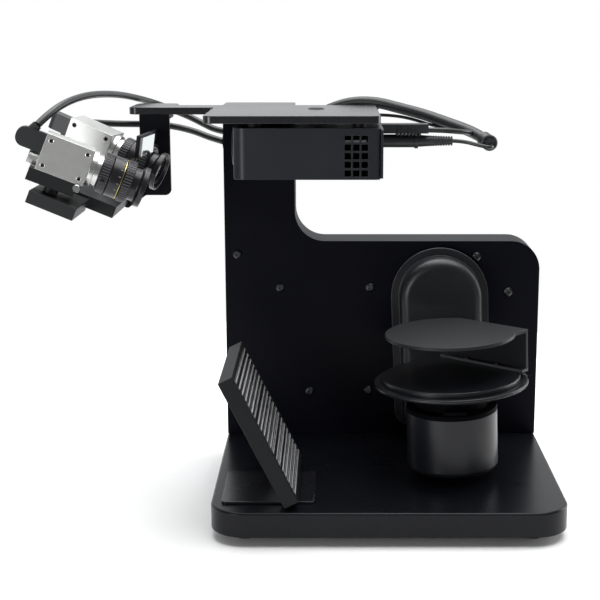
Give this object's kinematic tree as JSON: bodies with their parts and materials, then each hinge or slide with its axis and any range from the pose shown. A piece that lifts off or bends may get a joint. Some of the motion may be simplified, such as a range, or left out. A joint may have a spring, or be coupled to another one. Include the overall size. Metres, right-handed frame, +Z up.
{
  "type": "desktop 3d scanner",
  "caption": "Desktop structured-light scanner: L-shaped tower on a slab base, overhead projector and camera pair, swing arm with spinning table, leaning lamp panel.",
  "frame": {"origin": "on the floor, at the middle of the footprint of everything but the free cables (the feet stand on it)", "axes": "+X to the right of the viewer facing the scanner, +Y to the back, +Z up"},
  "size_m": [0.4266, 0.2522, 0.3411],
  "materials": {
    "black_paint": "fine-texture black powder coat",
    "arm_paint": "satin black paint on a casting",
    "table_paint": "satin black anodised look",
    "cover_plastic": "fine-grained moulding",
    "soft_rubber": "matt rubber",
    "black_steel": "black oxide",
    "plain_steel": "ground steel",
    "alloy": "machined aluminium",
    "camera_alloy": "bead-blasted, clear anodised",
    "lens_black": "black anodised",
    "lens_coated_glass": "coated lens",
    "silvered_glass": "front-surface mirror",
    "louvre_plastic": "grey ribbed moulding",
    "switch_plastic": "polished",
    "plug_plastic": "overmould",
    "cable_jacket": "matt cable jacket"
  },
  "bodies": {
    "frame": {"base_bottom_cover": "cover_plastic", "base_shell": "black_paint", "cable_grommets": "soft_rubber", "cable_sleeve": "cable_jacket", "camera_a_body": "camera_alloy", "camera_a_cable": "cable_jacket", "camera_b_body": "camera_alloy", "camera_b_cable": "cable_jacket", "camera_bracket": "black_paint", "camera_mounts": "black_paint", "camera_plugs": "plug_plastic", "case_screws": "black_steel", "controller_board": "cover_plastic", "dc_plug": "plug_plastic", "drive_belt": "soft_rubber", "front_panel": "black_paint", "lamp_board": "cover_plastic", "lamp_housing": "cover_plastic", "lamp_louvre": "louvre_plastic", "lamp_stand": "black_paint", "lens_barrels": "lens_black", "lens_glass": "lens_coated_glass", "lens_mount_rings": "camera_alloy", "mirror_glass": "silvered_glass", "mirror_holder": "black_paint", "power_lead": "cable_jacket", "projector_case": "cover_plastic", "projector_end_panel": "cover_plastic", "projector_engine": "alloy", "projector_lens_tube": "lens_black", "projector_spacers": "plain_steel", "rear_cover": "black_paint", "rear_sockets": "cover_plastic", "rubber_feet": "soft_rubber", "swing_bearing_housing": "alloy", "swing_bearings": "plain_steel", "swing_motor": "alloy", "sync_lead": "cable_jacket", "top_plate": "black_paint", "video_lead": "cable_jacket", "video_plug": "plug_plastic"},
    "swing": {"swing_arm": "arm_paint", "pod_housing": "arm_paint", "pod_collar": "arm_paint", "table_motor": "alloy", "table_bearing": "plain_steel", "swing_shaft": "plain_steel", "swing_pulley": "alloy"},
    "table": {"table_spindle": "plain_steel", "turntable_disc": "table_paint", "adapter_plate": "table_paint", "platform_bracket": "table_paint", "platform_screws": "black_steel"},
    "rotor": {"motor_pulley": "alloy"},
    "rocker": {"power_rocker": "switch_plastic"},
    "focus_a": {"focus_ring_a": "lens_black"},
    "iris_a": {"iris_ring_a": "lens_black"},
    "focus_b": {"focus_ring_b": "lens_black"},
    "iris_b": {"iris_ring_b": "lens_black"},
    "projector_focus": {"projector_focus_wheel": "lens_black"}
  },
  "joints": [
    {"name": "arm_swing", "type": "hinge", "parent": "frame", "child": "swing", "pos_m": [0.12189, 0, 0.158], "axis": [0, -1, 0], "range_deg": [-32, 58]},
    {"name": "motor_turn", "type": "hinge", "parent": "frame", "child": "rotor", "pos_m": [0.09089, 0, 0.10431], "axis": [0, -1, 0], "range_deg": [-109, 195.2]},
    {"name": "table_spin", "type": "hinge", "parent": "swing", "child": "table", "pos_m": [0.12189, -0.029, 0.158], "axis": [-0.0384, 0, 0.9993], "continuous": true},
    {"name": "rocker_tip", "type": "hinge", "parent": "frame", "child": "rocker", "pos_m": [-0.02891, 0.114, 0.05], "axis": [0, 0, 1], "range_deg": [-16, 0]},
    {"name": "focus_turn_a", "type": "hinge", "parent": "frame", "child": "focus_a", "pos_m": [-0.17841, -0.0605, 0.294], "axis": [0.9098, 0.1604, -0.3827], "range_deg": [-60, 60]},
    {"name": "iris_turn_a", "type": "hinge", "parent": "frame", "child": "iris_a", "pos_m": [-0.17841, -0.0605, 0.294], "axis": [0.9098, 0.1604, -0.3827], "range_deg": [-35, 35]},
    {"name": "focus_turn_b", "type": "hinge", "parent": "frame", "child": "focus_b", "pos_m": [-0.17291, 0.025, 0.299], "axis": [0.9098, -0.1604, -0.3827], "range_deg": [-60, 60]},
    {"name": "iris_turn_b", "type": "hinge", "parent": "frame", "child": "iris_b", "pos_m": [-0.17291, 0.025, 0.299], "axis": [0.9098, -0.1604, -0.3827], "range_deg": [-35, 35]},
    {"name": "projector_focus_turn", "type": "hinge", "parent": "frame", "child": "projector_focus", "pos_m": [-0.05491, 0.003, 0.296], "axis": [-1, 0, 0], "range_deg": [-30, 30]}
  ],
  "couplings": [
    {"joint": "motor_turn", "follows": "arm_swing", "ratio": 3.314}
  ]
}
